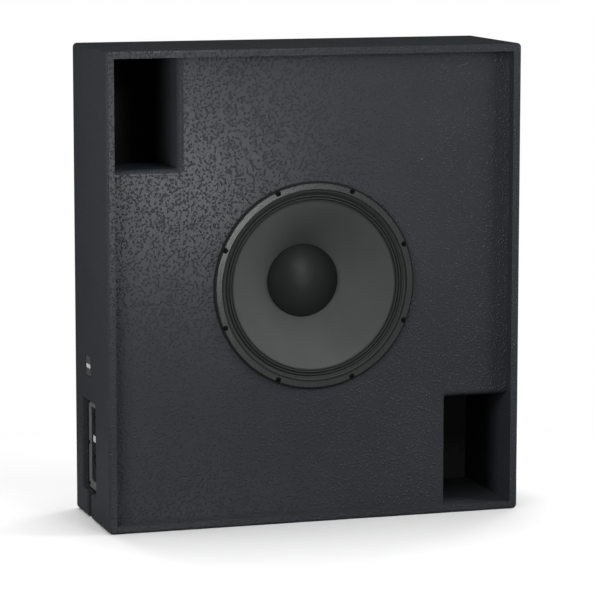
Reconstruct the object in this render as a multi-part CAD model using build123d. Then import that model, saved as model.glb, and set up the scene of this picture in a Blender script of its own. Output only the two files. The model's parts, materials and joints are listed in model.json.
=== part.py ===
"""A slim bass-reflex subwoofer cabinet with one front-mounted 15 inch driver.

Millimetres. +Z is up, the baffle faces -Y and the connector side is -X. The origin is in the middle of the
footprint, on the surface that the cabinet stands on. Depths into the driver are measured backwards, along +Y,
from the face of the baffle.
"""

from build123d import *
import math
import os

# ---- Cabinet ----
cabinet_width = 794.0
cabinet_height = 880.0
cabinet_depth = 254.0
panel_thickness = 15.0
back_thickness = 15.0
baffle_thickness = 18.0
baffle_recess = 20.0
corner_radius = 8.0
front_edge_radius = 4.5
rear_edge_radius = 3.0

# ---- Ports, one in each of two opposite corners ----
port_width = 123.0
port_height = 202.0
port_board_thickness = 15.0
port_inlet_gap = 90.0
port_mouth_radius = 12.0
port_corner_radius = 3.0

# ---- Bracing and damping ----
brace_thickness = 15.0
brace_clearance = 8.0
brace_margin = 34.0
brace_window_count = 3
brace_window_radius = 25.0
batten_size = 20.0
wadding_thickness = 25.0
wadding_back_width = 460.0
wadding_gap = 4.0

# ---- Connector recess, cable slot and badge, all on one upright line of the left side ----
recess_from_rear = 100.0
recess_width = 103.0
recess_height = 172.0
recess_bottom = 50.0
recess_corner_radius = 6.0
recess_edge_radius = 4.0
slot_width = 28.0
badge_width = 38.0
badge_height = 36.0
badge_centre_height = 288.0
badge_thickness = 1.5
badge_inset = 1.0
badge_clearance = 1.0
badge_corner_radius = 3.0
badge_mark_width = 28.0
badge_mark_height = 7.0
badge_mark_thickness = 0.6

# ---- Connector plate ----
backing_thickness = 12.0
backing_margin = 15.0
plate_clearance = 1.0
plate_thickness = 1.5
plate_gasket_thickness = 1.5
plate_corner_radius = 5.0
frame_thickness = 2.0
frame_width = 14.5
frame_edge_radius = 0.8
cutout_margin = 10.0
plate_screw_radius = 1.5
plate_screw_head_radius = 3.2
plate_screw_head_height = 1.8
plate_screw_length = 13.0
label_width = 30.0
label_height = 12.0
label_thickness = 0.5
label_offset = 8.0

# ---- Speaker sockets ----
socket_spacing = 74.0
socket_lift = 11.0
socket_flange_width = 26.0
socket_flange_height = 31.0
socket_flange_thickness = 3.0
socket_flange_radius = 3.0
socket_body_radius = 12.0
socket_body_length = 25.0
socket_cavity_radius = 10.5
socket_cavity_depth = 16.0
socket_core_radius = 4.0
socket_hole_clearance = 0.2
tag_spacing = 10.0
tag_length = 7.0
tag_width = 4.8
tag_thickness = 0.8
socket_screw_radius = 1.4
socket_screw_head_radius = 2.3
socket_screw_head_height = 1.4
socket_screw_length = 7.0
socket_screw_inset = 4.2

# ---- Driver ----
driver_diameter = 386.0
seal_thickness = 1.0
flange_thickness = 3.0
flange_edge_radius = 1.2
cutout_clearance = 1.0
bolt_inset = 6.5
bolt_count = 8
bolt_radius = 2.5
bolt_hole_clearance = 0.3
bolt_head_radius = 4.7
bolt_head_height = 2.75
bolt_length = 26.0
notch_radius = 5.2
t_nut_barrel_radius = 3.8
t_nut_barrel_length = 12.0
t_nut_flange_radius = 9.0
t_nut_flange_thickness = 1.5
t_nut_clearance = 0.05

gasket_inset = 3.5
gasket_width = 11.0
gasket_thickness = 2.6
gasket_edge_bevel = 0.5

surround_thickness = 0.8
surround_tuck = 2.5
surround_land_width = 4.5
surround_width = 15.5
roll_count = 3
roll_height = 2.4
surround_lip_width = 3.0

basket_throat_clearance = 0.7
basket_wall = 2.5
basket_throat_depth = 6.0
basket_ledge_radius = 110.5
basket_well_radius = 88.0
basket_well_depth = 18.0
basket_window_angle = 29.0
basket_window_start = 26.0
basket_window_margin = 6.0

cone_lip_gap = 0.3
cone_paper_depth = 1.3
cone_depth = 88.0
cone_curve = 1.12
dust_cap_radius = 67.5
dust_cap_height = 27.0
dust_cap_thickness = 0.9
glue_gap = 0.1

coil_radius = 50.0
former_thickness = 0.4
former_overlap = 4.0
former_tail = 1.0
winding_length = 26.0
winding_reach = 18.0
winding_thickness = 1.4
magnetic_gap = 0.6
pole_clearance = 0.8

spider_gap = 0.3
spider_setback = 4.0
spider_thickness = 0.8
spider_roll_count = 5
spider_roll_height = 2.0
spider_land_width = 9.0

basket_floor_thickness = 2.5
floor_hole_clearance = 2.0
top_plate_thickness = 10.0
top_plate_radius = 98.0
magnet_thickness = 25.0
magnet_radius = 110.0
magnet_hole_radius = 62.0
yoke_thickness = 10.0
vent_radius = 17.0
motor_screw_count = 4
motor_screw_circle_radius = 72.0
motor_screw_radius = 2.5
motor_screw_head_radius = 4.5
motor_screw_head_height = 2.8
motor_screw_length = 11.0
motor_clearance = 5.0

strip_width = 8.0
strip_length = 30.0
strip_height = 7.0
strip_setback = 3.0
terminal_spacing = 16.0
tinsel_radius = 0.8
lead_radius = 1.5

# ---- Places worked out from the sizes above ----
left_x = -cabinet_width / 2
inner_left_x = left_x + panel_thickness
inner_right_x = -inner_left_x
inner_width = cabinet_width - 2 * panel_thickness
inner_top_z = cabinet_height - panel_thickness
front_y = -cabinet_depth / 2
rear_y = cabinet_depth / 2
baffle_y = front_y + baffle_recess
baffle_back_y = baffle_y + baffle_thickness
back_inner_y = rear_y - back_thickness
board_depth = back_inner_y - baffle_back_y
driver_z = cabinet_height / 2
driver_radius = driver_diameter / 2
bolt_circle_radius = driver_radius - bolt_inset
gasket_outer = driver_radius - gasket_inset
gasket_inner = gasket_outer - gasket_width
surround_land_outer = gasket_inner + surround_tuck
surround_land_inner = gasket_inner - surround_land_width
basket_throat_radius = surround_land_inner + basket_throat_clearance
cone_lip_radius = surround_land_inner - surround_width
cone_edge_radius = cone_lip_radius - surround_lip_width
flange_face = -seal_thickness - flange_thickness
cutout_radius = basket_throat_radius + basket_wall + cutout_clearance
former_radius = coil_radius + former_thickness
winding_radius = former_radius + winding_thickness
gap_radius = winding_radius + magnetic_gap
basket_ledge_depth = cone_depth + spider_setback
basket_window_end = basket_ledge_depth - basket_window_margin
motor_front_depth = basket_ledge_depth + basket_well_depth
former_start = cone_depth - former_overlap
winding_end = motor_front_depth + winding_reach
winding_start = winding_end - winding_length
former_end = winding_end + former_tail
magnet_start = motor_front_depth + top_plate_thickness
yoke_start = magnet_start + magnet_thickness
yoke_end = yoke_start + yoke_thickness
brace_offset = cutout_radius + brace_clearance
recess_y = rear_y - recess_from_rear
recess_z = recess_bottom + recess_height / 2
backing_top = recess_bottom + recess_height + backing_margin
backing_width = recess_width + 2 * backing_margin
plate_width = recess_width - 2 * plate_clearance
plate_height = recess_height - 2 * plate_clearance
plate_back_x = inner_left_x + plate_thickness
pocket_floor_x = plate_back_x + plate_gasket_thickness
backing_back_x = inner_left_x + backing_thickness
socket_heights = {
    "upper": recess_z + socket_lift + socket_spacing / 2,
    "lower": recess_z + socket_lift - socket_spacing / 2,
}


# ---- Helpers ----
def block(x, y, z):
    """A box between the given pairs of limits."""
    size = [limits[1] - limits[0] for limits in (x, y, z)]
    middle = [(limits[1] + limits[0]) / 2 for limits in (x, y, z)]
    return Pos(*middle) * Box(*size)


def side_prism(width, height, radius, x, y, z):
    """A rounded rectangle in the YZ plane, centred at y and z and running between the two limits of x."""
    outline = Plane.YZ * RectangleRounded(width, height, radius)
    return Pos(x[0], y, z) * extrude(outline, x[1] - x[0])


def side_rod(radius, x, y, z):
    """A round rod along X, between the two limits of x."""
    return Pos(x[0], y, z) * extrude(Plane.YZ * Circle(radius), x[1] - x[0])


def opposite(shape):
    """The same piece turned half a turn about the driver's axis, for the other port."""
    return shape.rotate(Axis((0, 0, driver_z), (0, 1, 0)), 180)


def on_driver(shape):
    """Moves a piece made about the Y axis, with y as its depth, to the driver's place."""
    return Pos(0, baffle_y, driver_z) * shape


def turned(*outline):
    """A solid of revolution about the driver's axis, from an outline in radius and depth."""
    return on_driver(revolve(make_face(Curve() + list(outline)), Axis.Y))


def turned_polygon(*points):
    """A solid of revolution with straight sides."""
    return turned(Polyline(*points, close=True))


def turned_ring(inner, outer, start, end):
    """A plain ring about the driver's axis."""
    return turned_polygon((inner, start), (outer, start), (outer, end), (inner, end))


def driver_rod(radius, start, end, x=0.0, z=0.0):
    """A round rod along the driver's axis, at x and z from it."""
    rod = extrude(Plane.XZ.offset(-start) * Circle(radius), -(end - start))
    return on_driver(Pos(x, 0, z) * rod)


def around(count, radius, first_angle):
    """Places round the driver's axis, as x and z from it."""
    angles = [math.radians(first_angle + 360 / count * i) for i in range(count)]
    return [(radius * math.cos(a), radius * math.sin(a)) for a in angles]


def rounded(shape, radius, test):
    """Rounds every edge whose middle passes the test."""
    return fillet([edge for edge in shape.edges() if test(edge.center())], radius)


def near(a, b):
    """True for two lengths that are the same but for rounding."""
    return abs(a - b) < 1e-4


# ---- Cabinet panels ----
def cable_route():
    """The connector window and the cable slot below it, as one cutter through the side panel."""
    through = (left_x - 1, inner_left_x + 1)
    window = side_prism(recess_width, recess_height, recess_corner_radius, through, recess_y, recess_z)
    half = slot_width / 2
    slot = block(through, (recess_y - half, recess_y + half), (-1, recess_bottom + recess_corner_radius))
    return window + slot


def on_window_edge(point):
    """True on the edges where the window and the slot break the outer face or the rounded foot."""
    in_depth = abs(point.Y - recess_y) < recess_width / 2 + 0.1
    in_height = point.Z < recess_bottom + recess_height + 0.1
    outer_face = near(point.X, left_x)
    on_slot_side = near(abs(point.Y - recess_y), slot_width / 2)
    rounded_foot = on_slot_side and point.Z < corner_radius
    return in_depth and in_height and (outer_face or rounded_foot)


def side_panel():
    """A plain left side panel with its long outer corners, front edges and rear edges rounded."""
    panel = block((left_x, inner_left_x), (front_y, rear_y), (0, cabinet_height))
    ends = (0, cabinet_height)
    panel = rounded(panel, corner_radius, lambda p: near(p.X, left_x) and any(near(p.Z, z) for z in ends))
    for y, radius in ((front_y, front_edge_radius), (rear_y, rear_edge_radius)):
        panel = rounded(panel, radius, lambda p: near(p.Y, y) and not near(p.X, inner_left_x))
    return panel


def panel_left():
    panel = side_panel() - cable_route()
    half = slot_width / 2
    panel = rounded(
        panel,
        recess_corner_radius,
        lambda p: near(abs(p.Y - recess_y), half) and near(p.Z, recess_bottom),
    )
    panel = rounded(panel, recess_edge_radius, on_window_edge)
    pocket_depth = badge_thickness + badge_inset
    pocket = side_prism(
        badge_width + 2 * badge_clearance,
        badge_height + 2 * badge_clearance,
        badge_corner_radius + badge_clearance,
        (left_x - 1, left_x + pocket_depth),
        recess_y,
        badge_centre_height,
    )
    return panel - pocket


def panel_right():
    return side_panel().mirror(Plane.YZ)


def panel_top():
    panel = block((inner_left_x, inner_right_x), (front_y, rear_y), (inner_top_z, cabinet_height))
    for y, radius in ((front_y, front_edge_radius), (rear_y, rear_edge_radius)):
        panel = rounded(panel, radius, lambda p: near(p.Y, y) and near(p.Z, cabinet_height))
    return panel


def panel_bottom():
    return opposite(panel_top())


def panel_back():
    return block((inner_left_x, inner_right_x), (back_inner_y, rear_y), (panel_thickness, inner_top_z))


def port_opening(y):
    """The upper port's rectangle, as a block between two depths."""
    bottom = inner_top_z - port_height
    return block((inner_left_x, inner_left_x + port_width), y, (bottom, inner_top_z))


def on_port_mouth(point):
    """True on the front edges of the upper port's notch in the baffle."""
    on_side = near(point.X, inner_left_x + port_width) and point.Z > inner_top_z - port_height
    on_floor = near(point.Z, inner_top_z - port_height) and point.X < inner_left_x + port_width
    centre = (inner_left_x + port_width, inner_top_z - port_height)
    on_corner = math.dist(centre, (point.X, point.Z)) < port_corner_radius
    return near(point.Y, baffle_y) and (on_side or on_floor or on_corner)


def baffle_board():
    """The baffle with both port notches and their rounded mouths."""
    z = (panel_thickness, inner_top_z)
    board = block((inner_left_x, inner_right_x), (baffle_y, baffle_back_y), z)
    inner_corner = (inner_left_x + port_width, inner_top_z - port_height)
    for _ in range(2):
        board = board - port_opening((baffle_y - 1, baffle_back_y + 1))
        board = rounded(board, port_corner_radius, lambda p: math.dist(inner_corner, (p.X, p.Z)) < 1e-3)
        board = rounded(board, port_mouth_radius, on_port_mouth)
        board = opposite(board)
    return board


def baffle():
    board = baffle_board() - driver_rod(cutout_radius, -1, baffle_thickness + 1)
    barrel_start = baffle_thickness - t_nut_barrel_length
    for x, z in bolt_places():
        board -= driver_rod(bolt_radius + bolt_hole_clearance, -1, baffle_thickness + 1, x, z)
        board -= driver_rod(t_nut_barrel_radius + t_nut_clearance, barrel_start, baffle_thickness + 1, x, z)
    return board


# ---- Ports, bracing and damping ----
def port_wall():
    """The upright board beside the upper port, from the baffle to the back panel."""
    start = inner_left_x + port_width
    bottom = inner_top_z - port_height - port_board_thickness
    return block((start, start + port_board_thickness), (baffle_back_y, back_inner_y), (bottom, inner_top_z))


def port_shelf():
    """The level board under the upper port, which stops short of the back panel to let the air in."""
    top = inner_top_z - port_height
    end = back_inner_y - port_inlet_gap
    z = (top - port_board_thickness, top)
    return block((inner_left_x, inner_left_x + port_width), (baffle_back_y, end), z)


def brace():
    """The upper window brace: a level board above the driver with a row of large openings."""
    bottom = driver_z + brace_offset
    z = (bottom, bottom + brace_thickness)
    board = block((inner_left_x, inner_right_x), (baffle_back_y, back_inner_y), z)
    pitch = (inner_width - brace_margin) / brace_window_count
    window = RectangleRounded(pitch - brace_margin, board_depth - 2 * brace_margin, brace_window_radius)
    for i in range(brace_window_count):
        x = inner_left_x + brace_margin / 2 + pitch * (i + 0.5)
        board -= Pos(x, (baffle_back_y + back_inner_y) / 2, bottom - 1) * extrude(window, brace_thickness + 2)
    return board


def brace_upper():
    return brace() - port_wall() - port_shelf()


def brace_lower():
    """The same brace below the driver, cut back where the connector backing board stands."""
    return opposite(brace_upper()) - backing_envelope()


def batten_top():
    """The batten behind the baffle's top edge, from the port wall to the right side."""
    start = inner_left_x + port_width + port_board_thickness
    y = (baffle_back_y, baffle_back_y + batten_size)
    return block((start, inner_right_x), y, (inner_top_z - batten_size, inner_top_z))


def batten_bottom():
    """The same batten behind the bottom edge, cut back where the connector backing board reaches it."""
    return opposite(batten_top()) - backing_envelope()


def batten_left():
    """The batten behind the baffle's left edge, between the two braces."""
    y = (baffle_back_y, baffle_back_y + batten_size)
    z = (driver_z - brace_offset, driver_z + brace_offset)
    return block((inner_left_x, inner_left_x + batten_size), y, z)


def wadding_back():
    """The wadding behind the driver, kept clear of the motor where the cabinet is shallow."""
    z = (driver_z - brace_offset, driver_z + brace_offset)
    half = wadding_back_width / 2
    blanket = block((-half, half), (back_inner_y - wadding_thickness, back_inner_y), z)
    return blanket - driver_rod(magnet_radius + motor_clearance, 0, yoke_end + motor_clearance)


def wadding_left():
    start = baffle_back_y + batten_size + wadding_gap
    z = (driver_z - brace_offset, driver_z + brace_offset)
    return block((inner_left_x, inner_left_x + wadding_thickness), (start, back_inner_y - wadding_gap), z)


# ---- Connector recess ----
def backing_envelope():
    """The whole block of the backing board, before anything is cut from it."""
    half = backing_width / 2
    y = (recess_y - half, recess_y + half)
    return block((inner_left_x, backing_back_x), y, (panel_thickness, backing_top))


def plate_screw_places():
    """Six places on the frame, as y and z: the four corners and the middle of each long side."""
    across = (plate_width - frame_width) / 2
    up = (plate_height - frame_width) / 2
    return [(recess_y + side * across, recess_z + level * up) for side in (-1, 1) for level in (-1, 0, 1)]


def socket_screw_places(height):
    """Two opposite corners of a socket's flange, as y and z."""
    across = socket_flange_width / 2 - socket_screw_inset
    up = socket_flange_height / 2 - socket_screw_inset
    return [(recess_y + side * across, height + side * up) for side in (-1, 1)]


def frame_opening(x):
    """The space inside the frame, between two limits of x."""
    width = plate_width - 2 * frame_width
    height = plate_height - 2 * frame_width
    return side_prism(width, height, plate_corner_radius, x, recess_y, recess_z)


def input_backing():
    """The board behind the window and the cable slot, with a pocket for the plate and its gasket."""
    board = backing_envelope()
    pocket = (inner_left_x - 1, pocket_floor_x)
    board -= side_prism(recess_width, recess_height, recess_corner_radius, pocket, recess_y, recess_z)
    width = plate_width - 2 * cutout_margin
    height = plate_height - 2 * cutout_margin
    through = (pocket_floor_x - 1, backing_back_x + 1)
    board -= side_prism(width, height, plate_corner_radius, through, recess_y, recess_z)
    end = inner_left_x - frame_thickness + plate_screw_length
    for y, z in plate_screw_places():
        board -= side_rod(plate_screw_radius, (pocket_floor_x - 1, end), y, z)
    return board


def input_gasket():
    x = (plate_back_x, pocket_floor_x)
    ring = side_prism(plate_width, plate_height, plate_corner_radius, x, recess_y, recess_z)
    width = plate_width - 2 * cutout_margin
    height = plate_height - 2 * cutout_margin
    ring -= side_prism(width, height, plate_corner_radius, (x[0] - 1, x[1] + 1), recess_y, recess_z)
    for y, z in plate_screw_places():
        ring -= side_rod(plate_screw_radius, (x[0] - 1, x[1] + 1), y, z)
    return ring


def input_plate():
    x = (inner_left_x, plate_back_x)
    through = (x[0] - 1, x[1] + 1)
    plate = side_prism(plate_width, plate_height, plate_corner_radius, x, recess_y, recess_z)
    for y, z in plate_screw_places():
        plate -= side_rod(plate_screw_radius, through, y, z)
    for height in socket_heights.values():
        plate -= side_rod(socket_body_radius + socket_hole_clearance, through, recess_y, height)
        for y, z in socket_screw_places(height):
            plate -= side_rod(socket_screw_radius, through, y, z)
    return plate


def input_frame():
    """The raised frame round the plate."""
    x = (inner_left_x - frame_thickness, inner_left_x)
    ring = side_prism(plate_width, plate_height, plate_corner_radius, x, recess_y, recess_z)
    ring -= frame_opening((x[0] - 1, x[1] + 1))
    ring = rounded(ring, frame_edge_radius, lambda p: near(p.X, x[0]))
    for y, z in plate_screw_places():
        ring -= side_rod(plate_screw_radius, (x[0] - 1, x[1] + 1), y, z)
    return ring


def input_label():
    """A blank pale label between the sockets, towards the rear of the plate."""
    middle = recess_z + socket_lift
    x = (inner_left_x - label_thickness, inner_left_x)
    return side_prism(label_width, label_height, 1.0, x, recess_y + label_offset, middle)


def input_screws():
    """The six screws that hold the frame and the plate to the backing board."""
    face = inner_left_x - frame_thickness
    screws = []
    for y, z in plate_screw_places():
        head = side_rod(plate_screw_head_radius, (face - plate_screw_head_height, face), y, z)
        head = rounded(head, 1.2, lambda p: p.X < face - plate_screw_head_height + 0.1)
        screws.append(head + side_rod(plate_screw_radius, (face, face + plate_screw_length), y, z))
    return Compound(screws)


def speaker_socket(height):
    """A round chassis socket: flange, body with an open cavity round a core, and two solder tags."""
    face = inner_left_x - socket_flange_thickness
    end = face + socket_body_length
    size = (socket_flange_width, socket_flange_height, socket_flange_radius)
    socket = side_prism(*size, (face, inner_left_x), recess_y, height)
    socket = rounded(socket, 0.8, lambda p: near(p.X, face))
    socket += side_rod(socket_body_radius, (face, end), recess_y, height)
    socket -= side_rod(socket_cavity_radius, (face - 1, face + socket_cavity_depth), recess_y, height)
    socket += side_rod(socket_core_radius, (face + 1, end), recess_y, height)
    for side in (-1, 1):
        y = recess_y + side * tag_spacing / 2
        half = (tag_thickness / 2, tag_width / 2)
        z = (height - half[1], height + half[1])
        socket += block((end - 1, end + tag_length), (y - half[0], y + half[0]), z)
    for y, screw_z in socket_screw_places(height):
        socket -= side_rod(socket_screw_radius, (face - 1, inner_left_x + 1), y, screw_z)
    return socket


def socket_screws():
    face = inner_left_x - socket_flange_thickness
    screws = []
    for height in socket_heights.values():
        for y, z in socket_screw_places(height):
            head = side_rod(socket_screw_head_radius, (face - socket_screw_head_height, face), y, z)
            head = rounded(head, 0.9, lambda p: p.X < face - socket_screw_head_height + 0.1)
            screws.append(head + side_rod(socket_screw_radius, (face, face + socket_screw_length), y, z))
    return Compound(screws)


def badge():
    x = (left_x + badge_inset, left_x + badge_inset + badge_thickness)
    plate = side_prism(badge_width, badge_height, badge_corner_radius, x, recess_y, badge_centre_height)
    return rounded(plate, 0.5, lambda p: near(p.X, x[0]))


def badge_mark():
    """A plain raised bar across the badge."""
    x = (left_x + badge_inset - badge_mark_thickness, left_x + badge_inset)
    size = (badge_mark_width, badge_mark_height, badge_mark_height / 2.5)
    return side_prism(*size, x, recess_y, badge_centre_height)


# ---- Driver ----
def bolt_places():
    return around(bolt_count, bolt_circle_radius, 180 / bolt_count)


def driver_seal():
    ring = turned_ring(cutout_radius, driver_radius - 1, -seal_thickness, 0)
    for x, z in bolt_places():
        ring -= driver_rod(bolt_radius + bolt_hole_clearance, -seal_thickness - 1, 1, x, z)
    return ring


def basket_windows():
    """Sector-shaped cutters between the basket's arms, which stand in line with the bolts."""
    half = math.radians(basket_window_angle / 2)
    reach = driver_radius * 1.2
    length = basket_window_end - basket_window_start
    side = reach * math.tan(half)
    wedge = make_face(Polyline((0, 0), (reach, -side), (reach, side), close=True))
    solid = extrude(Plane.XZ.offset(-basket_window_start) * wedge, -length)
    solid -= extrude(Plane.XZ.offset(-basket_window_start) * Circle(basket_well_radius), -length)
    return [on_driver(solid.rotate(Axis.Y, 360 / bolt_count * i)) for i in range(bolt_count)]


def whole_basket():
    """The basket with its flange, arms and spider well, before it is divided by depth."""
    throat = basket_throat_radius
    wall = basket_wall
    well_outer = basket_well_radius + wall
    floor_hole = gap_radius + floor_hole_clearance
    floor_front = motor_front_depth - basket_floor_thickness
    basket = turned_polygon(
        (throat, flange_face),
        (driver_radius, flange_face),
        (driver_radius, -seal_thickness),
        (throat + wall, -seal_thickness),
        (throat + wall, basket_throat_depth),
        (basket_ledge_radius + wall, basket_ledge_depth + wall),
        (well_outer, basket_ledge_depth + wall),
        (well_outer, motor_front_depth),
        (floor_hole, motor_front_depth),
        (floor_hole, floor_front),
        (basket_well_radius, floor_front),
        (basket_well_radius, basket_ledge_depth),
        (basket_ledge_radius, basket_ledge_depth),
        (throat, basket_throat_depth),
    )
    front = baffle_y + flange_face
    basket = rounded(basket, flange_edge_radius, lambda p: near(p.Y, front) and is_outermost(p))
    for cutter in basket_windows():
        basket -= cutter
    for x, z in bolt_places():
        basket -= driver_rod(bolt_radius + bolt_hole_clearance, flange_face - 1, 1, x, z)
    for x, z in motor_screw_places():
        basket -= driver_rod(motor_screw_radius, floor_front - 1, motor_front_depth + 1, x, z)
    return basket


def basket_between(start, end):
    """The part of the basket between two depths."""
    return whole_basket() & driver_rod(driver_radius + 1, start, end)


def is_outermost(point):
    """True for a point on the driver's rim. A closed edge counts from its seam or its far side."""
    return near(math.hypot(point.X, point.Z - driver_z), driver_radius)


def driver_gasket():
    """The ring over the surround's land, notched round each bolt head."""
    back = flange_face
    step = back - surround_thickness - glue_gap
    face = back - gasket_thickness
    step_radius = surround_land_outer + 0.3
    bevel = gasket_edge_bevel
    ring = turned_polygon(
        (gasket_inner, face + bevel),
        (gasket_inner + bevel, face),
        (gasket_outer - bevel, face),
        (gasket_outer, face + bevel),
        (gasket_outer, back),
        (step_radius, back),
        (step_radius, step),
        (gasket_inner, step),
    )
    for x, z in bolt_places():
        ring -= driver_rod(notch_radius, face - 1, back + 1, x, z)
    return ring


def roll_line(start_radius, end_radius, depth, count, height, start_height=0.0):
    """Points of a row of rolls, from the outer radius to the inner one. Crests point forwards."""
    pitch = (start_radius - end_radius) / count
    points = [(start_radius, depth - start_height)]
    for i in range(count):
        points.append((start_radius - pitch * (i + 0.5), depth - height))
        points.append((start_radius - pitch * (i + 1), depth))
    return points


def driver_surround():
    """Accordion surround: a glued land on the flange, three rolls and a lip over the cone's edge."""
    land = flange_face - surround_thickness
    lip = -surround_thickness
    lip_start = cone_lip_radius
    front = roll_line(surround_land_inner, lip_start, lip, roll_count, roll_height, lip - land)
    lip_end = lip_start - surround_lip_width
    back = [(radius, depth + surround_thickness) for radius, depth in front]
    return turned(
        Line((surround_land_outer, land), front[0]),
        Spline(*front),
        Line(front[-1], (lip_end, lip)),
        Line((lip_end, lip), (lip_end, 0)),
        Line((lip_end, 0), back[-1]),
        Spline(*reversed(back)),
        Line(back[0], (surround_land_outer, flange_face)),
        Line((surround_land_outer, flange_face), (surround_land_outer, land)),
    )


def cone_front(radius):
    """Depth of the cone's front face at a radius: a shallow flare that steepens towards the neck."""
    share = (cone_edge_radius - radius) / (cone_edge_radius - former_radius)
    return cone_lip_gap + (cone_depth - cone_lip_gap) * share**cone_curve


def driver_cone():
    """The paper cone, with a flat lip under the surround and a hole for the former."""
    steps = 6
    span = cone_edge_radius - former_radius
    radii = [cone_edge_radius - span * i / steps for i in range(steps + 1)]
    front = [(radius, cone_front(radius)) for radius in radii]
    back = [(radius, depth + cone_paper_depth) for radius, depth in front]
    lip = (cone_lip_radius, cone_lip_gap)
    lip_back = (cone_lip_radius, cone_lip_gap + cone_paper_depth)
    return turned(
        Line(lip, front[0]),
        Spline(*front),
        Line(front[-1], back[-1]),
        Spline(*reversed(back)),
        Line(back[0], lip_back),
        Line(lip_back, lip),
    )


def dome_arc(rim_radius, rim_depth, height):
    """Half of a shallow dome's outline, from its rim to its top on the axis."""
    sphere = (rim_radius**2 + height**2) / (2 * height)
    half_angle = math.asin(rim_radius / sphere) / 2
    centre = rim_depth - height + sphere
    middle = (sphere * math.sin(half_angle), centre - sphere * math.cos(half_angle))
    return ThreePointArc((rim_radius, rim_depth), middle, (0, rim_depth - height))


def dust_cap():
    rim = cone_front(dust_cap_radius) - glue_gap - dust_cap_thickness
    inner_radius = dust_cap_radius - dust_cap_thickness
    front = dome_arc(dust_cap_radius, rim, dust_cap_height)
    back = dome_arc(inner_radius, rim + dust_cap_thickness, dust_cap_height)
    top = rim - dust_cap_height
    return turned(
        front,
        Line((0, top), (0, top + dust_cap_thickness)),
        back,
        Line((inner_radius, rim + dust_cap_thickness), (dust_cap_radius, rim)),
    )


def driver_spider():
    """The corrugated centring disc between the former and the basket's ledge."""
    depth = basket_ledge_depth - spider_thickness
    inner = former_radius + spider_gap
    rolls_outer = basket_well_radius
    front = roll_line(rolls_outer, inner, depth, spider_roll_count, spider_roll_height)
    back = [(radius, roll_depth + spider_thickness) for radius, roll_depth in front]
    land_outer = basket_well_radius + spider_land_width
    return turned(
        Line((land_outer, depth), front[0]),
        Spline(*front),
        Line(front[-1], back[-1]),
        Spline(*reversed(back)),
        Line(back[0], (land_outer, basket_ledge_depth)),
        Line((land_outer, basket_ledge_depth), (land_outer, depth)),
    )


def motor_screw_places():
    return around(motor_screw_count, motor_screw_circle_radius, 0)


def driver_top_plate():
    plate = turned_ring(gap_radius, top_plate_radius, motor_front_depth, magnet_start)
    end = motor_front_depth - basket_floor_thickness + motor_screw_length
    for x, z in motor_screw_places():
        plate -= driver_rod(motor_screw_radius, motor_front_depth - 1, end, x, z)
    return plate


def driver_yoke():
    """The back plate and the vented pole piece, in one piece."""
    pole_radius = coil_radius - pole_clearance
    return turned_polygon(
        (vent_radius, motor_front_depth),
        (pole_radius, motor_front_depth),
        (pole_radius, yoke_start),
        (top_plate_radius, yoke_start),
        (top_plate_radius, yoke_end),
        (vent_radius, yoke_end),
    )


def motor_screws():
    """The screws that hold the basket's floor to the top plate."""
    face = motor_front_depth - basket_floor_thickness
    screws = []
    for x, z in motor_screw_places():
        head = driver_rod(motor_screw_head_radius, face - motor_screw_head_height, face, x, z)
        screws.append(head + driver_rod(motor_screw_radius, face, face + motor_screw_length, x, z))
    return Compound(screws)


def driver_bolts():
    """Button-head bolts with hex sockets, through the flange, the seal and the baffle into the T-nuts."""
    top = flange_face - bolt_head_height
    bolts = []
    for x, z in bolt_places():
        head = driver_rod(bolt_head_radius, top, flange_face, x, z)
        head = rounded(head, bolt_head_height * 0.75, lambda p: near(p.Y, baffle_y + top))
        socket = extrude(Plane.XZ.offset(-top + 1) * RegularPolygon(1.7, 6), -(1 + bolt_head_height * 0.55))
        head -= on_driver(Pos(x, 0, z) * socket)
        bolts.append(head + driver_rod(bolt_radius, flange_face, flange_face + bolt_length, x, z))
    return Compound(bolts)


def driver_t_nuts():
    start = baffle_thickness - t_nut_barrel_length
    end = baffle_thickness + t_nut_flange_thickness
    nuts = []
    for x, z in bolt_places():
        nut = driver_rod(t_nut_barrel_radius, start, end, x, z)
        nut += driver_rod(t_nut_flange_radius, baffle_thickness, end, x, z)
        nuts.append(nut - driver_rod(bolt_radius + t_nut_clearance, start - 1, end + 1, x, z))
    return Compound(nuts)


# ---- Wiring ----
strip_outer_x = -(basket_ledge_radius - strip_setback)
strip_face = basket_ledge_depth - strip_height


def driver_terminal_strip():
    """The tag strip on the basket's ledge, in the window on the connector side."""
    y = (baffle_y + strip_face, baffle_y + basket_ledge_depth)
    z = (driver_z - strip_length / 2, driver_z + strip_length / 2)
    return block((strip_outer_x, strip_outer_x + strip_width), y, z)


def wire(name, points, radius):
    """A round wire along straight runs joined by arcs as large as the runs allow."""
    runs = [Vector(*b) - Vector(*a) for a, b in zip(points, points[1:])]
    radii = []
    for before, after in zip(runs, runs[1:]):
        half_turn = math.radians(before.get_angle(after)) / 2
        radii.append(0.45 * min(before.length, after.length) / math.tan(half_turn))
    path = FilletPolyline(*points, radius=radii)
    solid = sweep(Plane(path @ 0, z_dir=path % 0) * Circle(radius), path)
    share = solid.volume / (math.pi * radius**2 * path.length)
    bends = [round(bend) for bend in radii]
    print(name, "length", round(path.length), "volume share", round(share, 4), "radii", bends)
    return solid


def tinsel_lead(name, side):
    """From the strip, in a short loop, to the back of the cone. side is -1 or 1."""
    end_radius = 89.0
    start_x = strip_outer_x + strip_width - 2.2
    end_y = cone_front(end_radius) + cone_paper_depth + 2 * tinsel_radius
    z = driver_z + side * terminal_spacing / 2
    route = [
        (start_x, strip_face),
        (start_x, strip_face - 12),
        (-96.5, strip_face - 21),
        (-end_radius, end_y),
    ]
    return wire(name, [(x, baffle_y + depth, z) for x, depth in route], tinsel_radius)


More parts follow.
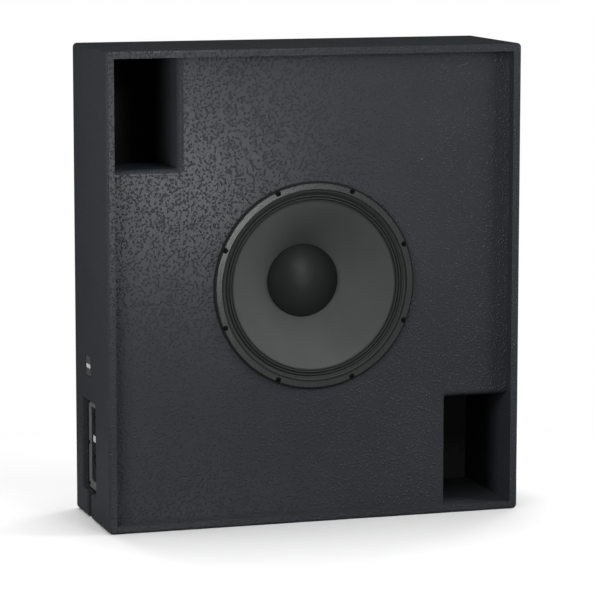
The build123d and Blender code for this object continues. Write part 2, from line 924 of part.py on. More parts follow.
def lead(name, side):
    """From a tag of the upper socket, up through the lower brace and a basket window, to the strip."""
    tag_x = inner_left_x - socket_flange_thickness + socket_body_length + tag_length
    tag_y = recess_y + side * tag_spacing / 2
    tag_z = socket_heights["upper"]
    end_x = strip_outer_x + 2.2
    end_z = driver_z + side * terminal_spacing / 2
    strip_y = baffle_y + strip_face
    route = [
        (tag_x, tag_y, tag_z),
        (tag_x + 18, tag_y, tag_z),
        (tag_x + 28, tag_y - 2, tag_z + 22),
        (tag_x + 33, tag_y - 6, tag_z + 50),
        (tag_x + 39, tag_y - 12, tag_z + 92),
        (tag_x + 54, tag_y - 22, tag_z + 130),
        (-262, tag_y - 34, end_z - 92),
        (-222, tag_y - 46, end_z - 58),
        (-184, tag_y - 60, end_z - 24),
        (-146, strip_y - 32, end_z - 6),
        (end_x - 12, strip_y - 28, end_z),
        (end_x, strip_y - 14, end_z),
        (end_x, strip_y, end_z),
    ]
    return wire(name, route, lead_radius)


def link_leads():
    """Two straight wires that join the tags of the two sockets."""
    x = inner_left_x - socket_flange_thickness + socket_body_length + tag_length / 2
    low = socket_heights["lower"] + tag_width / 2
    length = socket_heights["upper"] - tag_width / 2 - low
    places = [recess_y + side * tag_spacing / 2 for side in (-1, 1)]
    return Compound([Pos(x, y, low) * extrude(Circle(1.0), length) for y in places])


pieces = {
    "panel_left": panel_left(),
    "panel_right": panel_right(),
    "panel_top": panel_top(),
    "panel_bottom": panel_bottom(),
    "panel_back": panel_back(),
    "baffle": baffle(),
    "port_wall_upper": port_wall(),
    "port_wall_lower": opposite(port_wall()),
    "port_shelf_upper": port_shelf(),
    "port_shelf_lower": opposite(port_shelf()),
    "brace_upper": brace_upper(),
    "brace_lower": brace_lower(),
    "batten_top": batten_top(),
    "batten_bottom": batten_bottom(),
    "batten_left": batten_left(),
    "batten_right": opposite(batten_left()),
    "wadding_back": wadding_back(),
    "wadding_left": wadding_left(),
    "wadding_right": opposite(wadding_left()),
    "input_backing": input_backing(),
    "input_gasket": input_gasket(),
    "input_plate": input_plate(),
    "input_frame": input_frame(),
    "input_label": input_label(),
    "input_screws": input_screws(),
    "socket_upper": speaker_socket(socket_heights["upper"]),
    "socket_lower": speaker_socket(socket_heights["lower"]),
    "socket_screws": socket_screws(),
    "badge": badge(),
    "badge_mark": badge_mark(),
    "lead_positive": lead("lead_positive", 1),
    "lead_negative": lead("lead_negative", -1),
    "link_leads": link_leads(),
    "driver_seal": driver_seal(),
    "basket_ring": basket_between(flange_face - 1, basket_window_start),
    "basket_arms": basket_between(basket_window_start, basket_window_end),
    "basket_well": basket_between(basket_window_end, motor_front_depth + 1),
    "driver_gasket": driver_gasket(),
    "driver_surround": driver_surround(),
    "driver_cone": driver_cone(),
    "dust_cap": dust_cap(),
    "voice_coil_former": turned_ring(coil_radius, former_radius, former_start, former_end),
    "voice_coil_winding": turned_ring(former_radius, winding_radius, winding_start, winding_end),
    "driver_spider": driver_spider(),
    "driver_top_plate": driver_top_plate(),
    "driver_magnet": turned_ring(magnet_hole_radius, magnet_radius, magnet_start, yoke_start),
    "driver_yoke": driver_yoke(),
    "motor_screws": motor_screws(),
    "driver_terminal_strip": driver_terminal_strip(),
    "tinsel_lead_positive": tinsel_lead("tinsel_lead_positive", 1),
    "tinsel_lead_negative": tinsel_lead("tinsel_lead_negative", -1),
    "driver_bolts": driver_bolts(),
    "driver_t_nuts": driver_t_nuts(),
}

os.makedirs("parts", exist_ok=True)
for node, shape in pieces.items():
    export_step(shape, f"parts/{node}.step")
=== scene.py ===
"""The looks of the subwoofer cabinet: its finishes, its soft parts, the studio and the camera.

Metres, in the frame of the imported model: +Z is up, the baffle faces -Y and the connector side is -X.
"""

import json
import math

import bpy
import numpy as np
from mathutils import Matrix, Vector, noise


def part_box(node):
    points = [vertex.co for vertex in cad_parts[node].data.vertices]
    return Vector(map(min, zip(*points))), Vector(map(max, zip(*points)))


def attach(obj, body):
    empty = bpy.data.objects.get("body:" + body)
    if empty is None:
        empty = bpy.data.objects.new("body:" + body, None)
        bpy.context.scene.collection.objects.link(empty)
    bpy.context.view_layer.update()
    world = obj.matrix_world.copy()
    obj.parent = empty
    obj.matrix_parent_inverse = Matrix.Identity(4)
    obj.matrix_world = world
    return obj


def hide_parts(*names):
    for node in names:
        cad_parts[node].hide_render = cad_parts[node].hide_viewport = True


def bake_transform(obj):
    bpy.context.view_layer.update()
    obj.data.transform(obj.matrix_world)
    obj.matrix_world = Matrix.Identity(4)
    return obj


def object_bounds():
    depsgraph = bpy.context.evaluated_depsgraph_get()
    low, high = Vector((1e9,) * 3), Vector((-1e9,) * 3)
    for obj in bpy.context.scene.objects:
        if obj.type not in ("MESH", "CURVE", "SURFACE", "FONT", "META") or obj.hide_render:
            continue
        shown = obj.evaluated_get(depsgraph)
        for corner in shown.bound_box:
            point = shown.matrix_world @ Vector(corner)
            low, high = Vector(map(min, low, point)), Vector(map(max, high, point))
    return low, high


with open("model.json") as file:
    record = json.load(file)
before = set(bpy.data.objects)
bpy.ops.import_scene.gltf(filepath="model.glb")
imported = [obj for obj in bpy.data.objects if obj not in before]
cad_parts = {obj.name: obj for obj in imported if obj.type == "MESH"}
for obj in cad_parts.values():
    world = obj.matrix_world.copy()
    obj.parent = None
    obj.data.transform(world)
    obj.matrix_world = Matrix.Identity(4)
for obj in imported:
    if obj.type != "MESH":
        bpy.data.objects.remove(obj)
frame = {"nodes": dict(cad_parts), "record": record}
nodes = frame["nodes"]
cad_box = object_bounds()

# ---- Places read from the frame ----
gasket_low, gasket_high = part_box("driver_gasket")
axis_z = (gasket_low.z + gasket_high.z) / 2
baffle_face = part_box("driver_seal")[1].y
cone_edge = axis_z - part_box("driver_cone")[0].z
AROUND = 256  # steps round the driver's axis


# ---- Node helpers ----
class Finish:
    """A Principled material with short calls for its nodes. Lengths are in metres."""

    def __init__(self, name, **constants):
        self.material = bpy.data.materials.new(name)
        self.material.use_nodes = True
        self.tree = self.material.node_tree
        self.shader = self.tree.nodes["Principled BSDF"]
        self.place = self.add("ShaderNodeTexCoord").outputs["Object"]
        for key, value in constants.items():
            self.shader.inputs[key.replace("_", " ")].default_value = value

    def add(self, kind, **settings):
        node = self.tree.nodes.new(kind)
        for key, value in settings.items():
            setattr(node, key, value)
        return node

    def give(self, node, socket, value):
        """Sets a socket to a constant, or links it to another node's output."""
        if isinstance(value, bpy.types.NodeSocket):
            self.tree.links.new(value, node.inputs[socket])
        else:
            node.inputs[socket].default_value = value

    def calc(self, operation, *values):
        """The result of a math node."""
        node = self.add("ShaderNodeMath", operation=operation)
        for i, value in enumerate(values):
            self.give(node, i, value)
        return node.outputs[0]

    def stretched(self, x, y, z):
        """The place, scaled along each axis."""
        node = self.add("ShaderNodeVectorMath", operation="MULTIPLY")
        self.give(node, 0, self.place)
        node.inputs[1].default_value = (x, y, z)
        return node.outputs[0]

    def jittered(self, size, by):
        """The place, moved about by noise of that size."""
        node = self.add("ShaderNodeTexNoise")
        node.inputs["Scale"].default_value = 1 / size
        self.give(node, "Vector", self.place)
        shift = self.add("ShaderNodeVectorMath", operation="MULTIPLY_ADD")
        self.give(shift, 0, node.outputs["Color"])
        shift.inputs[1].default_value = (by, by, by)
        self.give(shift, 2, self.place)
        return shift.outputs[0]

    def around_axis(self):
        """Radius and angle about the driver's axis."""
        parts = self.add("ShaderNodeSeparateXYZ")
        self.give(parts, 0, self.place)
        x = parts.outputs["X"]
        z = self.calc("SUBTRACT", parts.outputs["Z"], axis_z)
        squares = self.calc("ADD", self.calc("MULTIPLY", x, x), self.calc("MULTIPLY", z, z))
        return self.calc("SQRT", squares), self.calc("ARCTAN2", z, x)

    def inside_cabinet(self):
        """0 on the sides, ends and baffle, rising to 1 behind it: the mask for the coat's painted shade and matt
        finish inside the ports. The back's outer face counts as within.
        """
        skin, below_skin = 0.009, 0.014
        mouth, deep = 0.03, 0.18
        half_width, half_height = cad_box[1].x, cad_box[1].z / 2
        parts = self.add("ShaderNodeSeparateXYZ")
        self.give(parts, 0, self.place)
        across = self.calc("ABSOLUTE", parts.outputs["X"])
        up = self.calc("ABSOLUTE", self.calc("SUBTRACT", parts.outputs["Z"], half_height))
        off_sides = self.ramp(across, half_width - skin, half_width - below_skin)
        off_ends = self.ramp(up, half_height - skin, half_height - below_skin)
        behind = self.ramp(parts.outputs["Y"], baffle_face + mouth, baffle_face + deep)
        return self.calc("MINIMUM", self.calc("MINIMUM", off_sides, off_ends), behind)

    def noise(self, size, detail=2.0, rough=0.5, distortion=0.0, place=None):
        """Noise whose blobs are about size across."""
        node = self.add("ShaderNodeTexNoise")
        node.inputs["Scale"].default_value = 1 / size
        node.inputs["Detail"].default_value = detail
        node.inputs["Roughness"].default_value = rough
        node.inputs["Distortion"].default_value = distortion
        self.give(node, "Vector", place or self.place)
        return node.outputs["Fac"]

    def cells(self, size, place):
        """Distances from the middles of cells about size across."""
        node = self.add("ShaderNodeTexVoronoi")
        node.inputs["Scale"].default_value = 1 / size
        self.give(node, "Vector", place)
        return node.outputs["Distance"]

    def ramp(self, source, low, high, start=0.0, end=1.0):
        """Maps source from the range low to high onto start to end."""
        node = self.add("ShaderNodeMapRange")
        for key, value in (("From Min", low), ("From Max", high), ("To Min", start), ("To Max", end)):
            node.inputs[key].default_value = value
        self.give(node, "Value", source)
        return node.outputs["Result"]

    def waves(self, source, length):
        """A sine of source with that wavelength, from 0 to 1."""
        wave = self.calc("SINE", self.calc("MULTIPLY", source, math.tau / length))
        return self.calc("MULTIPLY_ADD", wave, 0.5, 0.5)

    def colour(self, source, dark, light):
        """Feeds the base colour with a mix from dark, where source is 0, to light, where it is 1."""
        node = self.add("ShaderNodeMix", data_type="RGBA")
        node.inputs[6].default_value = (*dark, 1)
        node.inputs[7].default_value = (*light, 1)
        self.give(node, 0, source)
        self.give(self.shader, "Base Color", node.outputs[2])

    def roughness(self, source, low, high):
        """Feeds the roughness with a range that follows source."""
        self.give(self.shader, "Roughness", self.ramp(source, 0.25, 0.75, low, high))

    def bump(self, source, height):
        """Adds a bump of that height on top of those before."""
        node = self.add("ShaderNodeBump")
        node.inputs["Distance"].default_value = height
        self.give(node, "Height", source)
        before = self.shader.inputs["Normal"].links
        if before:
            self.give(node, "Normal", before[0].from_socket)
        self.give(self.shader, "Normal", node.outputs["Normal"])


# ---- Finishes ----
def textured_coat():
    """Sprayed charcoal coat: a satin ground with scattered grains, matt inside the ports, where painted shade
    turns its colour near black.
    """
    f = Finish("textured_coat", IOR=1.45)
    grains = f.ramp(f.cells(0.005, f.jittered(0.006, 0.003)), 0.45, 0.12)
    peel = f.noise(0.0016, 2.0, 0.6)
    cloud = f.noise(0.22, 3.0, 0.6)
    inside = f.inside_cabinet()
    tone = f.calc("MULTIPLY_ADD", grains, 0.35, cloud)
    # Painted shade: deeper inside the ports the tone drops, so the colour falls to the near-black dark end.
    tone = f.calc("MULTIPLY_ADD", inside, -1.6, tone)
    f.colour(f.ramp(tone, -1.6, 1.0), (0.0015, 0.0015, 0.0016), (0.034, 0.0368, 0.0415))
    satin = f.ramp(peel, 0.25, 0.75, 0.27, 0.33)
    f.give(f.shader, "Roughness", f.calc("MULTIPLY_ADD", inside, 0.45, satin))
    f.bump(grains, 0.0009)
    f.bump(peel, 0.00002)
    return f.material


def bare_plywood():
    """Pale birch with long grain along X and its glued layers showing through Y."""
    f = Finish("bare_plywood")
    grain = f.noise(0.004, 4.0, 0.6, 0.4, f.stretched(0.06, 1, 1))
    layers = f.ramp(f.noise(0.0016, 0, 0.5, 0, f.stretched(0.01, 0.01, 1)), 0.45, 0.55)
    f.colour(f.calc("MULTIPLY_ADD", layers, 0.4, grain), (0.36, 0.24, 0.13), (0.66, 0.5, 0.33))
    f.roughness(grain, 0.55, 0.75)
    f.bump(grain, 0.00015)
    return f.material


def wadding():
    """White polyester fibre."""
    f = Finish("wadding", Sheen_Weight=0.4, Roughness=0.95)
    fluff = f.noise(0.012, 6.0, 0.7, 1.5)
    f.colour(fluff, (0.5, 0.5, 0.48), (0.84, 0.84, 0.82))
    f.bump(fluff, 0.006)
    f.bump(f.noise(0.0015, 3.0, 0.7, 3.0), 0.0006)
    return f.material


def speckled(name, dark, light, size, rough, height, ior=1.5):
    """A moulded, painted or cast surface: fine grain in the colour, the gloss and the height."""
    f = Finish(name, IOR=ior)
    grain = f.noise(size, 4.0, 0.65)
    f.colour(f.ramp(grain, 0.35, 0.65), dark, light)
    f.roughness(f.noise(size * 6, 3.0, 0.6), *rough)
    f.bump(grain, height)
    return f.material


def gasket_board():
    """Greenish grey pressed board with short fibres."""
    f = Finish("gasket_board", IOR=1.75)
    fibres = f.noise(0.0011, 5.0, 0.7, 2.0)
    blotch = f.noise(0.03, 2.0)
    tone = f.calc("MULTIPLY_ADD", fibres, 0.5, f.calc("MULTIPLY", blotch, 0.5))
    f.colour(tone, (0.018, 0.0205, 0.0195), (0.034, 0.0375, 0.036))
    f.roughness(fibres, 0.24, 0.3)
    f.bump(fibres, 0.000004)
    return f.material


def doped_cloth(name, dark, light, thread, rough, cloth_darkening):
    """Woven cloth laid in rolls round the axis: threads run round it and out from it.

    The last argument takes the material and the radius, and gives how far the cloth is darkened, from 0 for
    black to 1: painted shade on the surround, and a plain darkening towards the coil on the spider.
    """
    f = Finish(name)
    radius, angle = f.around_axis()
    weave = f.calc("MULTIPLY", f.waves(radius, thread), f.waves(angle, thread / 0.16))
    resin = f.noise(0.004, 3.0, 0.6)
    cloth = f.calc("MULTIPLY_ADD", weave, 0.35, f.calc("MULTIPLY", resin, 0.65))
    # The given function darkens the cloth's tone: painted shade on the surround, darker towards the coil on the
    # spider.
    f.colour(f.calc("MULTIPLY", cloth_darkening(f, radius), cloth), dark, light)
    f.roughness(resin, *rough)
    f.bump(weave, 0.00008)
    f.bump(resin, 0.0001)
    return f.material


def surround_painted_shade(f, radius):
    """Painted shade: dark in the valleys of the rolls and in the groove beside the gasket."""
    roll = 0.00515
    beyond_rolls = cone_edge + 0.0115
    groove = cone_edge + 0.0175
    waves = f.waves(f.calc("ADD", radius, -cone_edge - roll / 4), roll)
    shelf = f.ramp(radius, beyond_rolls, beyond_rolls + 0.001)
    valleys = f.calc("MAXIMUM", f.ramp(waves, 0.15, 0.75), shelf)
    return f.calc("MULTIPLY", valleys, f.ramp(radius, groove - 0.0012, groove, 1, 0.05))


def spider_darker_inwards(f, radius):
    """Darker towards the coil."""
    return f.ramp(radius, 0.05, 0.09, 0.75, 1.0)


def cone_paper():
    """Pressed paper pulp with a thin coat: soft fibres and faint rings from the mould."""
    f = Finish("cone_paper", IOR=1.45, Sheen_Weight=0.05, Sheen_Roughness=0.4)
    radius, _ = f.around_axis()
    fibres = f.noise(0.0025, 5.0, 0.7, 1.5)
    cloud = f.noise(0.045, 3.0, 0.6)
    rings = f.waves(radius, 0.0023)
    tone = f.calc("MULTIPLY_ADD", fibres, 0.4, f.calc("MULTIPLY", cloud, 0.6))
    f.colour(tone, (0.048, 0.0518, 0.0502), (0.068, 0.073, 0.0708))
    f.roughness(cloud, 0.52, 0.6)
    f.bump(fibres, 0.00005)
    f.bump(rings, 0.00001)
    return f.material


def dust_cap_paper():
    """The same pulp under a darker, smoother coat."""
    f = Finish("dust_cap_paper", IOR=1.5)
    fibres = f.noise(0.0022, 5.0, 0.7, 1.5)
    f.colour(fibres, (0.01, 0.011, 0.0106), (0.016, 0.0174, 0.0168))
    f.roughness(f.noise(0.02, 2.0), 0.44, 0.5)
    f.bump(fibres, 0.00005)
    return f.material


def brushed(name, dark, light, along, rough):
    """Metal with fine lines; along stretches them on each axis."""
    f = Finish(name, Metallic=1.0)
    lines = f.noise(0.0012, 4.0, 0.7, 0.0, f.stretched(*along))
    f.colour(lines, dark, light)
    f.roughness(lines, *rough)
    f.bump(lines, 0.00001)
    return f.material


def copper_wire():
    """Enamelled wire wound round the axis, turn by turn along Y."""
    f = Finish("copper_wire", Metallic=1.0, Coat_Weight=0.6)
    parts = f.add("ShaderNodeSeparateXYZ")
    f.give(parts, 0, f.place)
    turns = f.waves(parts.outputs["Y"], 0.0006)
    f.colour(turns, (0.3, 0.1, 0.04), (0.72, 0.33, 0.15))
    f.roughness(turns, 0.3, 0.4)
    f.bump(turns, 0.0001)
    return f.material


def tinsel():
    """Flat copper tinsel braided round a thread."""
    f = Finish("tinsel", Metallic=0.9)
    braid = f.cells(0.0006, f.stretched(1, 0.5, 1))
    f.colour(braid, (0.75, 0.42, 0.22), (0.3, 0.15, 0.08))
    f.roughness(braid, 0.3, 0.5)
    f.bump(braid, -0.0002)
    return f.material


# Slot: dark, light, grain size, range of roughness, bump height, and the IOR where it isn't 1.5.
SPECKLED = {
    "black_foam": ((0.012, 0.012, 0.012), (0.025, 0.025, 0.025), 0.0012, (0.8, 0.95), 0.0002),
    "black_plate": ((0.008, 0.0085, 0.008), (0.014, 0.015, 0.014), 0.0009, (0.38, 0.48), 0.00003),
    "grey_frame": ((0.1, 0.105, 0.1), (0.14, 0.146, 0.138), 0.0009, (0.38, 0.48), 0.00002),
    "pale_mark": ((0.5, 0.5, 0.5), (0.62, 0.62, 0.62), 0.002, (0.4, 0.5), 0.00001),
    "badge_plate": ((0.055, 0.056, 0.058), (0.075, 0.076, 0.079), 0.0007, (0.38, 0.5), 0.00002),
    "black_steel": ((0.002, 0.002, 0.0021), (0.006, 0.006, 0.0063), 0.0011, (0.4, 0.55), 0.00003, 1.2),
    "socket_plastic": ((0.01, 0.01, 0.011), (0.02, 0.02, 0.022), 0.0008, (0.45, 0.6), 0.00004),
    "red_lead": ((0.35, 0.015, 0.01), (0.5, 0.03, 0.02), 0.004, (0.35, 0.45), 0.00004),
    "black_lead": ((0.01, 0.01, 0.01), (0.02, 0.02, 0.02), 0.004, (0.35, 0.45), 0.00004),
    "basket_paint": ((0.007, 0.0075, 0.0073), (0.012, 0.0128, 0.0125), 0.0022, (0.4, 0.5), 0.00005, 1.3),
    "ferrite": ((0.02, 0.02, 0.022), (0.05, 0.05, 0.054), 0.0014, (0.5, 0.7), 0.0001),
    "strip_board": ((0.12, 0.05, 0.02), (0.24, 0.11, 0.05), 0.0015, (0.4, 0.5), 0.00002),
}
finishes = {
    "textured_coat": textured_coat(),
    "bare_plywood": bare_plywood(),
    "wadding": wadding(),
    "gasket_board": gasket_board(),
    # The surround's dark end shows in its painted shade, in the valleys of the rolls and the groove.
    "surround_cloth": doped_cloth(
        "surround_cloth", (0.006, 0.0066, 0.0063), (0.062, 0.067, 0.0645), 0.0012, (0.45, 0.55), surround_painted_shade
    ),
    "spider_cloth": doped_cloth(
        "spider_cloth", (0.28, 0.17, 0.06), (0.64, 0.45, 0.2), 0.0016, (0.6, 0.8), spider_darker_inwards
    ),
    "cone_paper": cone_paper(),
    "dust_cap_paper": dust_cap_paper(),
    "former_foil": brushed("former_foil", (0.55, 0.55, 0.56), (0.8, 0.8, 0.81), (1, 0.1, 1), (0.3, 0.4)),
    "zinc_steel": brushed("zinc_steel", (0.42, 0.43, 0.44), (0.62, 0.63, 0.62), (1, 0.15, 1), (0.28, 0.42)),
    "copper_wire": copper_wire(),
    "tinsel": tinsel(),
}
for name, look in SPECKLED.items():
    finishes[name] = speckled(name, *look)
slots = {part["node"]: part["material_slot"] for part in frame["record"]["subparts"]}
for name, node in nodes.items():
    node.data.materials.clear()
    node.data.materials.append(finishes[slots[name]])


# ---- Soft parts ----
def add_piece(name, points, faces, slot):
    """A smooth piece of those points and faces, with the finish of that slot."""
    mesh = bpy.data.meshes.new(name)
    mesh.from_pydata([tuple(p) for p in points], [], faces)
    mesh.materials.append(finishes[slot])
    mesh.shade_smooth()
    piece = bpy.data.objects.new(name, mesh)
    bpy.context.scene.collection.objects.link(piece)
    return piece


def revolve(name, outline, slot, swell=lambda angle: 1):
    """A closed ring round the driver's axis. outline lists radius and depth behind the baffle's face."""
    points = []
    for i in range(AROUND):
        angle = math.tau * i / AROUND
        for radius, depth in outline:
            reach = radius * swell(angle)
            points.append((reach * math.cos(angle), baffle_face + depth, axis_z + reach * math.sin(angle)))
    count = len(outline)
    faces = []
    for i in range(AROUND):
        here, there = i * count, (i + 1) % AROUND * count
        for j in range(count):
            k = (j + 1) % count
            faces.append((here + j, there + j, there + k, here + k))
    return add_piece(name, points, faces, slot)


def turned_sheet(name, front, thickness, slot):
    """A sheet turned round the driver's axis. front lists its front line, from its outer edge inwards."""
    back = [(radius, depth + thickness) for radius, depth in reversed(front)]
    return revolve(name, front + back, slot)


def follow_cone(piece, fixed, moving, measure):
    """Bakes the piece's transform into its mesh and works out how far each point lies from fixed towards moving,
    by measure. Nothing uses these shares.
    """
    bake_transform(piece)
    places = np.array([v.co for v in piece.data.vertices])
    share = np.clip((measure(places) - fixed) / (moving - fixed), 0, 1)


def driver_radius_of(places):
    """How far each place lies from the driver's axis."""
    return np.hypot(places[:, 0], places[:, 2] - axis_z)


def rolls(outer, inner, depth, count, height, steps=14):
    """Radius and depth along a row of rounded rolls with open valleys, crests forward."""
    line = []
    for i in range(count * steps + 1):
        share = i / (count * steps)
        arch = (0.5 - 0.5 * math.cos(math.tau * share * count)) ** 0.8
        line.append((outer + (inner - outer) * share, depth - height * arch))
    return line


def surround():
    """The accordion surround, with a land under the gasket and a lip glued on the cone's edge."""
    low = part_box("driver_surround")[0]
    land_outer = axis_z - low.z
    land_depth = low.y - baffle_face
    thickness = 0.0008
    lip = -thickness
    first_valley = cone_edge + 0.0103
    shelf = -0.0026
    roll_height = 0.0026
    front = [
        # The land under the gasket, and the groove beside it.
        (land_outer, land_depth),
        (land_outer - 0.0035, land_depth),
        (land_outer - 0.006, land_depth - 0.0001),
        (land_outer - 0.0075, land_depth + 0.0007),
        # The shelf, down to the first valley.
        (land_outer - 0.009, shelf),
        (first_valley + 0.004, shelf),
        (first_valley + 0.0022, -0.0022),
        (first_valley + 0.001, -0.0008),
    ]
    front += rolls(first_valley, cone_edge, lip + 0.0004, 2, roll_height)
    front += [(cone_edge - 0.001, lip), (cone_edge - 0.003, lip)]
    piece = turned_sheet("surround", front, thickness, "surround_cloth")
    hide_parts("driver_surround")
    follow_cone(piece, land_outer - 0.008, cone_edge, driver_radius_of)


def spider():
    """The corrugated centring disc."""
    low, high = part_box("driver_spider")
    outer = axis_z - low.z
    inner = axis_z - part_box("voice_coil_former")[0].z + 0.0003
    thickness = 0.0008
    depth = high.y - baffle_face - thickness
    land = 0.009
    front = [(outer, depth)] + rolls(outer - land, inner, depth, 5, 0.002, 10)
    piece = turned_sheet("spider", front, thickness, "spider_cloth")
    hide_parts("driver_spider")
    follow_cone(piece, outer - land, inner, driver_radius_of)


def cap_glue_and_shade():
    """The uneven bead of black glue round the dust cap; it is also painted shade, standing in for the dark,
    shaded edge of the cap.
    """
    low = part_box("dust_cap")[0]
    rim = axis_z - low.z
    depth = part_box("dust_cap")[1].y - baffle_face
    bead = 0.0007
    ring = [math.tau * i / 10 for i in range(10)]
    outline = [
        (rim + bead * 0.1 + bead * math.cos(a), depth - bead * 0.9 + bead * 0.7 * math.sin(a))
        for a in ring
    ]

    def swell(angle):
        return 1 + 0.0015 * noise.noise(Vector((9 * math.cos(angle), 9 * math.sin(angle), 0)))

    piece = revolve("cap_glue_and_shade", outline, "black_steel", swell)
    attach(piece, "cone_assembly")


def tinsel_lead(node):
    """One braided lead from the terminal strip to the back of the cone, along the CAD lead's line."""
    radius = 0.0008
    low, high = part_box(node)
    z = (low.z + high.z) / 2
    start = Vector((low.x + radius, high.y, z))
    end = Vector((high.x - radius, low.y + radius, z))
    curve = bpy.data.curves.new(node + "_line", "CURVE")
    curve.dimensions = "3D"
    curve.bevel_depth = radius
    curve.bevel_resolution = 4
    curve.resolution_u = 16
    route = [start, start - Vector((0, 0.012, 0)), start + Vector((0.0052, -0.021, 0)), end]
    spline = curve.splines.new("NURBS")
    spline.points.add(len(route) - 1)
    for point, place in zip(spline.points, route):
        point.co = (*place, 1)
    spline.order_u = 3
    spline.use_endpoint_u = True
    line = bpy.data.objects.new(node + "_line", curve)
    mesh = bpy.data.meshes.new_from_object(line)
    bpy.data.objects.remove(line)
    mesh.materials.clear()
    mesh.materials.append(finishes["tinsel"])
    mesh.shade_smooth()
    piece = bpy.data.objects.new(node.replace("tinsel_lead", "braid"), mesh)
    bpy.context.scene.collection.objects.link(piece)
    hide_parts(node)
    follow_cone(piece, start.y - 0.004, end.y, lambda places: places[:, 1])


def wadding_blanket(node, thin):
    """A lumpy blanket, thinner at its edges, in the space of the CAD block.

    thin is the axis across its thickness, 0 for X and 1 for Y.
    """
    step = 0.012
    inset, span = 0.012, 0.976
    lumps_per_metre = 28
    low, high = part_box(node)
    size = high - low
    wide = 1 - thin
    half = size[thin] / 2
    steps = {axis: max(8, round(size[axis] / step)) for axis in (wide, 2)}
    points, faces = [], []
    for side in (0, 1):
        out = half if side else -half
        for i in range(steps[wide] + 1):
            for j in range(steps[2] + 1):
                u, v = i / steps[wide], j / steps[2]
                swell = min(1, min(u, 1 - u, v, 1 - v) * 9) ** 0.5
                spot = Vector((u * size[wide] * lumps_per_metre, v * size.z * lumps_per_metre, side * 7))
                lump = 0.78 + 0.2 * noise.noise(spot)
                point = Vector((0, 0, low.z + (inset + span * v) * size.z))
                point[wide] = low[wide] + (inset + span * u) * size[wide]
                point[thin] = low[thin] + half + out * (0.3 + 0.7 * swell) * min(1, lump + 0.1)
                points.append(point)
    row = steps[2] + 1
    layer = (steps[wide] + 1) * row
    for i in range(steps[wide]):
        for j in range(steps[2]):
            a = i * row + j
            quad = (a, a + row, a + row + 1, a + 1)
            faces.append(quad)
            faces.append(tuple(layer + k for k in reversed(quad)))
    rim = [i * row for i in range(steps[wide])]
    rim += [steps[wide] * row + j for j in range(steps[2])]
    rim += [(steps[wide] - i) * row + steps[2] for i in range(steps[wide])]
    rim += [steps[2] - j for j in range(steps[2])]
    for a, b in zip(rim, rim[1:] + rim[:1]):
        faces.append((b, a, layer + a, layer + b))
    piece = add_piece(node.replace("wadding", "blanket"), points, faces, "wadding")
    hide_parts(node)
    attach(piece, "cabinet")


surround()
spider()
cap_glue_and_shade()
tinsel_lead("tinsel_lead_positive")
tinsel_lead("tinsel_lead_negative")
wadding_blanket("wadding_back", 1)
wadding_blanket("wadding_left", 0)
wadding_blanket("wadding_right", 0)


# ---- Studio ----
def floor():
    """A pale, slightly glossy round floor that throws little light back up."""
    radius, sides = 0.95, 96
    angles = [math.tau * i / sides for i in range(sides)]
    mesh = bpy.data.meshes.new("floor")
    rim = [(radius * math.cos(a), radius * math.sin(a), 0) for a in angles]
    mesh.from_pydata(rim, [], [tuple(range(sides))])
    f = Finish("floor", Roughness=0.14, IOR=1.6)
    f.colour(f.add("ShaderNodeLightPath").outputs["Is Camera Ray"], (0.08, 0.08, 0.08), (0.93, 0.93, 0.93))
    mesh.materials.append(f.material)
    piece = bpy.data.objects.new("floor", mesh)
    bpy.context.scene.collection.objects.link(piece)
    return piece


def air():
    """White all round for the eye, and a dim soft fill for the light that reaches the object."""
    fill = 0.05
    world = bpy.data.worlds.new("studio")
    world.use_nodes = True
    tree = world.node_tree
    seen = tree.nodes.new("ShaderNodeLightPath").outputs["Is Camera Ray"]
    level = tree.nodes.new("ShaderNodeMapRange")
    level.inputs["To Min"].default_value = fill
    level.inputs["To Max"].default_value = 1.0
    tree.links.new(seen, level.inputs["Value"])
    tree.nodes["Background"].inputs["Color"].default_value = (1, 1, 1, 1)
    tree.links.new(level.outputs["Result"], tree.nodes["Background"].inputs["Strength"])
    bpy.context.scene.world = world
    bpy.context.scene.view_settings.view_transform = "Standard"


def soft_light(name, place, target, size, power, shines):
    """A square softbox that the camera doesn't see. Only one that shines leaves a highlight."""
    data = bpy.data.lights.new(name, "AREA")
    data.size = size
    data.energy = power
    light = bpy.data.objects.new(name, data)
    light.location = place
    light.rotation_mode = "QUATERNION"
    light.rotation_quaternion = (Vector(target) - Vector(place)).to_track_quat("-Z", "Y")
    light.visible_camera = False
    light.visible_glossy = shines
    bpy.context.scene.collection.objects.link(light)
    return light


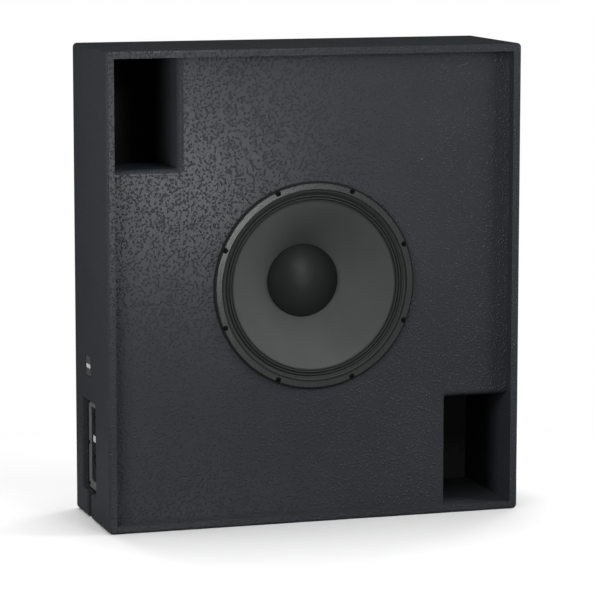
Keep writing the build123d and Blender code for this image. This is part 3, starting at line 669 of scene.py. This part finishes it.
def floor_lamp(piece):
    """A softbox overhead that lights only the floor, where it leaves the cabinet's soft shadow."""
    lit = bpy.data.collections.new("lit_by_floor_lamp")
    lit.objects.link(piece)
    lamp = soft_light("floor_lamp", (0, 0.7, 3.2), (0, 0.7, 0), 1.8, 84, False)
    lamp.light_linking.receiver_collection = lit


def camera():
    """A long lens, a little high and on the connector side, as in the photo."""
    yaw, pitch, roll = (math.radians(v) for v in (17.50, 8.19, 0.024))
    place = (-1.7308, -5.4902, 1.2265)
    data = bpy.data.cameras.new("camera")
    data.sensor_width = 36.0
    data.lens = 185.94
    data.clip_end = 100
    forward = Vector((math.sin(yaw) * math.cos(pitch), math.cos(yaw) * math.cos(pitch), -math.sin(pitch)))
    right = Vector((math.cos(yaw), -math.sin(yaw), 0))
    up = right.cross(forward)
    right, up = (
        right * math.cos(roll) + up * math.sin(roll),
        up * math.cos(roll) - right * math.sin(roll),
    )
    piece = bpy.data.objects.new("camera", data)
    turn = Matrix((right, up, -forward)).transposed().to_4x4()
    piece.matrix_world = Matrix.Translation(place) @ turn
    bpy.context.scene.collection.objects.link(piece)
    bpy.context.scene.camera = piece


driver = Vector((0, baffle_face, axis_z))
# Name: place, target, size, power, and whether it leaves a highlight.
lights = {
    "glow": ((0.19, -1.72, 0.463), (-0.251, -0.107, 0.639), 0.2, 2.2, True),
    "sparkle": ((0.15, -1.9, 1.4), driver, 0.3, 5, True),
    "left": ((-1.35, -0.95, 0.7), driver, 0.8, 20, False),
    "right": ((1.7, -0.7, 0.85), driver, 0.7, 34, False),
    "upper": ((0.1, -1.0, 1.7), (0, -0.107, 0.75), 0.9, 9, False),
    "side": ((-2.2, 0.5, 1.2), (-0.4, 0, 0.6), 1.0, 11, False),
    "back": ((2.3, 1.9, 1.4), (0, 0.127, axis_z), 1.0, 40, False),
    "back_fill": ((-0.5, 2.6, 1.7), (0, 0.6, 0.1), 1.6, 40, False),
}
for name, settings in lights.items():
    soft_light(name, *settings)
floor_lamp(floor())
air()
camera()
